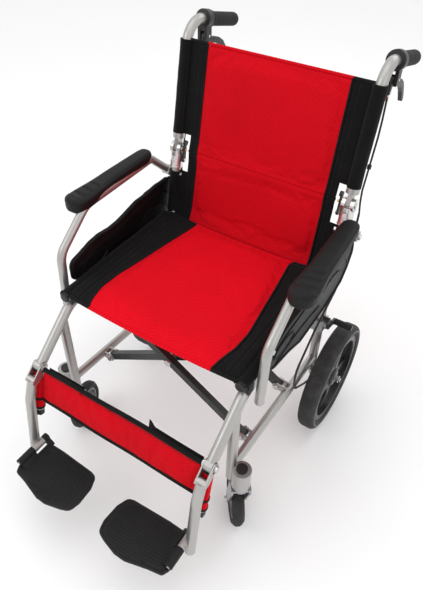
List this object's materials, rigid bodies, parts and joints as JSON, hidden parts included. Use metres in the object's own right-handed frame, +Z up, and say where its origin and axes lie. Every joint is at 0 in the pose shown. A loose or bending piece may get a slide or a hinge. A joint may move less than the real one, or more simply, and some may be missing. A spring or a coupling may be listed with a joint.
{
  "type": "transport wheelchair",
  "caption": "Folding transport wheelchair with small rear wheels and front casters, half-folding back, lift-up arms, hinged leg tubes, footplates, hand brakes and red mesh seat.",
  "frame": {"origin": "on the floor, under the middle of the overall box with the frame open and the back up", "axes": "+Z up, the occupant faces -Y, +X towards the occupant's left side"},
  "size_m": [0.582, 0.9204, 0.9177],
  "materials": {
    "frame_silver": "silver grey metallic paint, satin",
    "joint_metal": "machined, bright",
    "bolt_steel": "zinc plated",
    "black_plastic": "fine grain",
    "panel_plastic": "grained moulding",
    "lever_black": "satin",
    "zinc_steel": "zinc plated, dull",
    "grip_rubber": "ribbed grip",
    "pad_black": "soft moulded foam skin",
    "cable_black": "cable jacket",
    "brake_housing": "dark satin",
    "tyre_grey": "grey tread",
    "tyre_black": "dark tread",
    "rim_black": "moulded spokes",
    "rim_grey": "moulded",
    "brace_black": "black powder coat",
    "red_fabric": "red woven mesh"
  },
  "bodies": {
    "frame_left": {"side_frame_left": "frame_silver", "cane_joint_left": "joint_metal", "rear_axle_left": "bolt_steel", "band_brake_left": "brake_housing", "park_brake_base_left": "zinc_steel", "frame_plugs_left": "black_plastic", "frame_bolts_left": "bolt_steel", "brake_cable_left": "cable_black", "back_lower": "red_fabric", "calf_strap": "red_fabric"},
    "frame_right": {"side_frame_right": "frame_silver", "cane_joint_right": "joint_metal", "rear_axle_right": "bolt_steel", "band_brake_right": "brake_housing", "park_brake_base_right": "zinc_steel", "frame_plugs_right": "black_plastic", "frame_bolts_right": "bolt_steel", "brake_cable_right": "cable_black"},
    "brace_a": {"cross_brace_a": "brace_black", "seat_rail_right": "frame_silver", "brace_bolts": "bolt_steel"},
    "brace_b": {"cross_brace_b": "brace_black", "seat_rail_left": "frame_silver"},
    "seat": {"seat_sling": "red_fabric"},
    "back_left": {"upper_cane_left": "frame_silver", "push_grip_left": "grip_rubber", "brake_clamp_left": "black_plastic", "back_upper": "red_fabric"},
    "hand_brake_left": {"brake_lever_left": "lever_black"},
    "latch_left": {"joint_latch_left": "black_plastic"},
    "arm_left": {"arm_tube_left": "frame_silver", "arm_pad_left": "pad_black", "side_panel_left": "panel_plastic"},
    "rear_wheel_left": {"rear_tyre_left": "tyre_grey", "rear_rim_left": "rim_black"},
    "caster_left": {"caster_fork_left": "zinc_steel", "caster_axle_left": "bolt_steel"},
    "caster_wheel_left": {"caster_tyre_left": "tyre_black", "caster_rim_left": "rim_grey"},
    "leg_left": {"leg_tube_left": "frame_silver"},
    "foot_left": {"footplate_left": "panel_plastic"},
    "park_brake_left": {"park_brake_lever_left": "lever_black"},
    "back_right": {"upper_cane_right": "frame_silver", "push_grip_right": "grip_rubber", "brake_clamp_right": "black_plastic"},
    "hand_brake_right": {"brake_lever_right": "lever_black"},
    "latch_right": {"joint_latch_right": "black_plastic"},
    "arm_right": {"arm_tube_right": "frame_silver", "arm_pad_right": "pad_black", "side_panel_right": "panel_plastic"},
    "rear_wheel_right": {"rear_tyre_right": "tyre_grey", "rear_rim_right": "rim_black"},
    "caster_right": {"caster_fork_right": "zinc_steel", "caster_axle_right": "bolt_steel"},
    "caster_wheel_right": {"caster_tyre_right": "tyre_black", "caster_rim_right": "rim_grey"},
    "leg_right": {"leg_tube_right": "frame_silver"},
    "foot_right": {"footplate_right": "panel_plastic"},
    "park_brake_right": {"park_brake_lever_right": "lever_black"}
  },
  "joints": [
    {"name": "frame_fold", "type": "hinge", "parent": "frame_left", "child": "brace_a", "pos_m": [0.19, -0.03524, 0.229], "axis": [0, 1, 0], "range_deg": [0, 43.3], "deforming": ["seat_sling", "back_upper", "back_lower", "calf_strap"]},
    {"name": "brace_cross", "type": "hinge", "parent": "brace_a", "child": "brace_b", "pos_m": [0, -0.03524, 0.3464], "axis": [0, 1, 0], "range_deg": [-88, 0]},
    {"name": "frame_right_pivot", "type": "hinge", "parent": "brace_b", "child": "frame_right", "pos_m": [-0.19, -0.03524, 0.229], "axis": [0, 1, 0], "range_deg": [0, 44]},
    {"name": "seat_level", "type": "hinge", "parent": "brace_b", "child": "seat", "pos_m": [0.213, -0.03524, 0.478], "axis": [0, 1, 0], "range_deg": [0, 44]},
    {"name": "back_fold_left", "type": "hinge", "parent": "frame_left", "child": "back_left", "pos_m": [0.215, 0.21776, 0.639], "axis": [-1, 0, 0], "range_deg": [0, 100]},
    {"name": "arm_flip_left", "type": "hinge", "parent": "frame_left", "child": "arm_left", "pos_m": [0.241, 0.20975, 0.576], "axis": [-1, 0, 0], "range_deg": [0, 90]},
    {"name": "leg_swing_left", "type": "hinge", "parent": "frame_left", "child": "leg_left", "pos_m": [0.215, -0.29924, 0.357], "axis": [-1, 0, 0], "range_deg": [0, 70]},
    {"name": "footplate_flip_left", "type": "hinge", "parent": "leg_left", "child": "foot_left", "pos_m": [0.203, -0.37824, 0.157], "axis": [0, 1, 0], "range_deg": [0, 88]},
    {"name": "caster_swivel_left", "type": "hinge", "parent": "frame_left", "child": "caster_left", "pos_m": [0.24, -0.21624, 0.224], "axis": [0, 0, 1], "continuous": true},
    {"name": "caster_roll_left", "type": "hinge", "parent": "caster_left", "child": "caster_wheel_left", "pos_m": [0.21414, -0.18315, 0.062], "axis": [0.788, 0.6157, 0], "continuous": true},
    {"name": "rear_wheel_roll_left", "type": "hinge", "parent": "frame_left", "child": "rear_wheel_left", "pos_m": [0.262, 0.19975, 0.145], "axis": [1, 0, 0], "continuous": true},
    {"name": "hand_brake_squeeze_left", "type": "hinge", "parent": "back_left", "child": "hand_brake_left", "pos_m": [0.215, 0.32876, 0.862], "axis": [1, 0, 0], "range_deg": [0, 18]},
    {"name": "joint_release_left", "type": "hinge", "parent": "frame_left", "child": "latch_left", "pos_m": [0.196, 0.21334, 0.61541], "axis": [1, 0, 0], "range_deg": [0, 25]},
    {"name": "parking_brake_left", "type": "hinge", "parent": "frame_left", "child": "park_brake_left", "pos_m": [0.237, 0.18175, 0.33], "axis": [-1, 0, 0], "range_deg": [0, 23]},
    {"name": "back_fold_right", "type": "hinge", "parent": "frame_right", "child": "back_right", "pos_m": [-0.215, 0.21776, 0.639], "axis": [-1, 0, 0], "range_deg": [0, 100]},
    {"name": "arm_flip_right", "type": "hinge", "parent": "frame_right", "child": "arm_right", "pos_m": [-0.241, 0.20975, 0.576], "axis": [-1, 0, 0], "range_deg": [0, 90]},
    {"name": "leg_swing_right", "type": "hinge", "parent": "frame_right", "child": "leg_right", "pos_m": [-0.215, -0.29924, 0.357], "axis": [-1, 0, 0], "range_deg": [0, 70]},
    {"name": "footplate_flip_right", "type": "hinge", "parent": "leg_right", "child": "foot_right", "pos_m": [-0.203, -0.37824, 0.157], "axis": [0, 1, 0], "range_deg": [-88, 0]},
    {"name": "caster_swivel_right", "type": "hinge", "parent": "frame_right", "child": "caster_right", "pos_m": [-0.24, -0.21624, 0.224], "axis": [0, 0, 1], "continuous": true},
    {"name": "caster_roll_right", "type": "hinge", "parent": "caster_right", "child": "caster_wheel_right", "pos_m": [-0.25158, -0.17587, 0.062], "axis": [0.9613, 0.2756, 0], "continuous": true},
    {"name": "rear_wheel_roll_right", "type": "hinge", "parent": "frame_right", "child": "rear_wheel_right", "pos_m": [-0.262, 0.19975, 0.145], "axis": [1, 0, 0], "continuous": true},
    {"name": "hand_brake_squeeze_right", "type": "hinge", "parent": "back_right", "child": "hand_brake_right", "pos_m": [-0.215, 0.32876, 0.862], "axis": [1, 0, 0], "range_deg": [0, 18]},
    {"name": "joint_release_right", "type": "hinge", "parent": "frame_right", "child": "latch_right", "pos_m": [-0.196, 0.21334, 0.61541], "axis": [1, 0, 0], "range_deg": [0, 25]},
    {"name": "parking_brake_right", "type": "hinge", "parent": "frame_right", "child": "park_brake_right", "pos_m": [-0.237, 0.18175, 0.33], "axis": [-1, 0, 0], "range_deg": [0, 23]}
  ],
  "couplings": [
    {"joint": "brace_cross", "follows": "frame_fold", "ratio": -2},
    {"joint": "frame_right_pivot", "follows": "frame_fold", "ratio": 1},
    {"joint": "seat_level", "follows": "frame_fold", "ratio": 1},
    {"joint": "footplate_flip_left", "follows": "frame_fold", "ratio": 2},
    {"joint": "footplate_flip_right", "follows": "frame_fold", "ratio": -2},
    {"joint": "back_fold_right", "follows": "back_fold_left", "ratio": 1}
  ]
}
